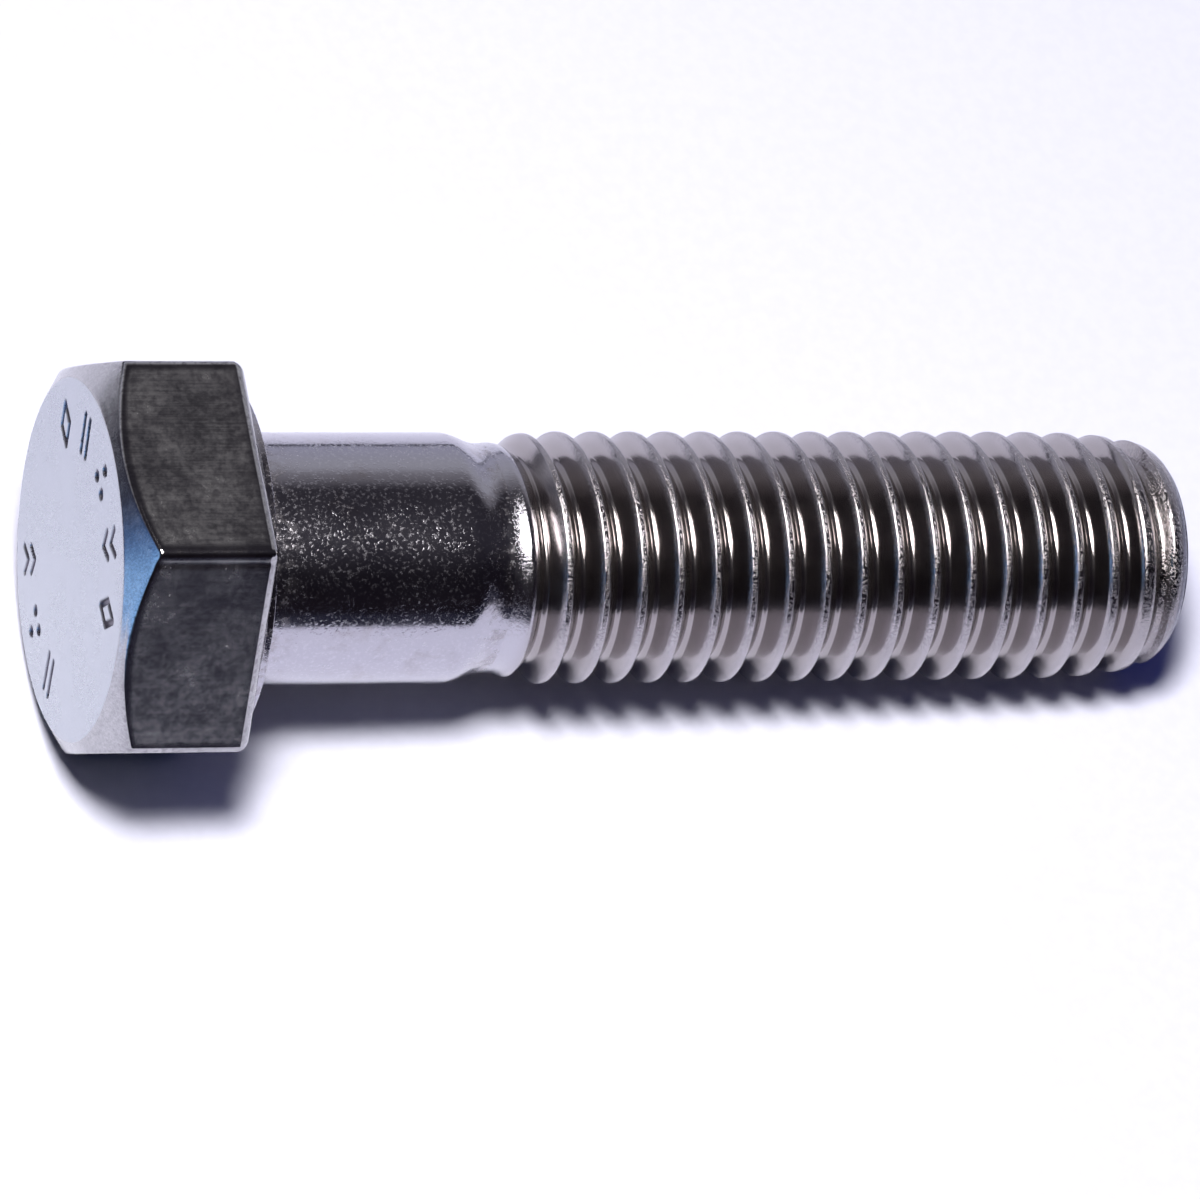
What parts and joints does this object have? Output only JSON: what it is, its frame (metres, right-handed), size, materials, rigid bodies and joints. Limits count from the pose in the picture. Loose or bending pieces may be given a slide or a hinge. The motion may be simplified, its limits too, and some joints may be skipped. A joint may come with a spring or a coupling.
{
  "type": "hex bolt",
  "caption": "Hexagon-head bolt with a washer face, a plain shank, a necked run-out and a coarse right-hand thread with a chamfered point.",
  "frame": {"origin": "centre of the head's top face, on the bolt's axis", "axes": "+X runs along the bolt's axis from the head to the point; +Z comes straight out of a wrench flat, so the hexagon's corners point along +Y and -Y"},
  "size_m": [0.0578, 0.0218, 0.019],
  "materials": {
    "head_steel": "satin forged stainless steel, faintly scratched along the flats",
    "shank_steel": "smooth drawn stainless steel with fine pits and handling marks",
    "thread_steel": "bright rolled stainless steel, polished flanks and crests"
  },
  "bodies": {
    "root": {"head": "head_steel", "shank": "shank_steel", "thread": "thread_steel"}
  },
  "joints": []
}
